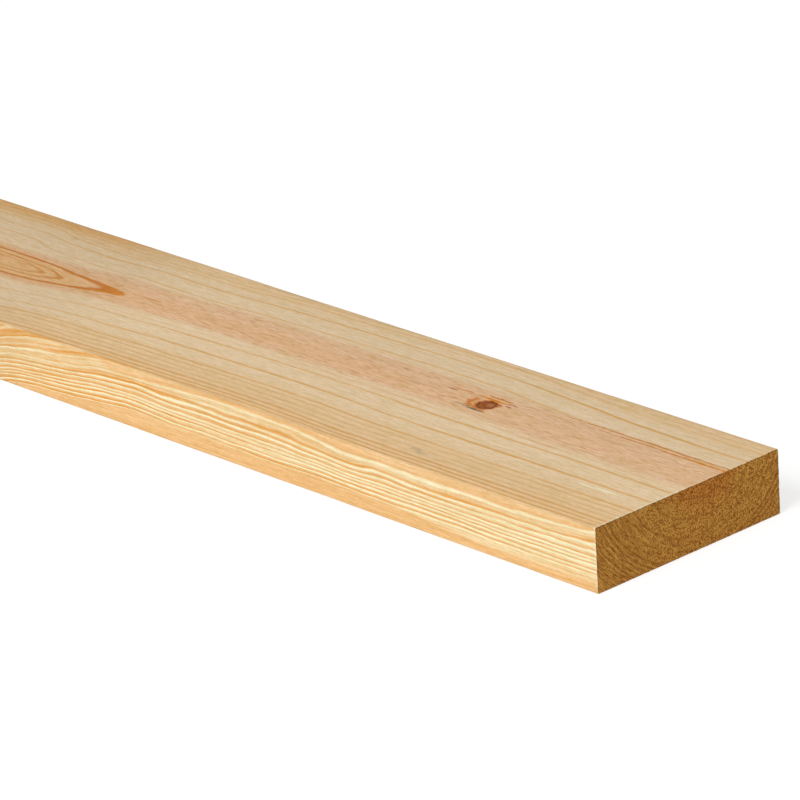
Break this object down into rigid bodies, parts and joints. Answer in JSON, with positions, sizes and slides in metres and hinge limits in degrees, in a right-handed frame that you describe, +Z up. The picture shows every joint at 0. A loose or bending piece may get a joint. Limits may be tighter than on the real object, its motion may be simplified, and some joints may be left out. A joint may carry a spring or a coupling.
{
  "type": "timber plank",
  "caption": "Straight planed softwood plank with eased long edges and square-sawn ends, for framing, joists, shelves and rough carpentry.",
  "frame": {"origin": "centre of the bottom broad face, on the level surface that the plank lies on", "axes": "+X along the length, +Y across the width, +Z up through the thickness"},
  "size_m": [2.438, 0.14, 0.038],
  "materials": {
    "pine": "planed, bare wood"
  },
  "bodies": {
    "root": {"plank": "pine"}
  },
  "joints": []
}
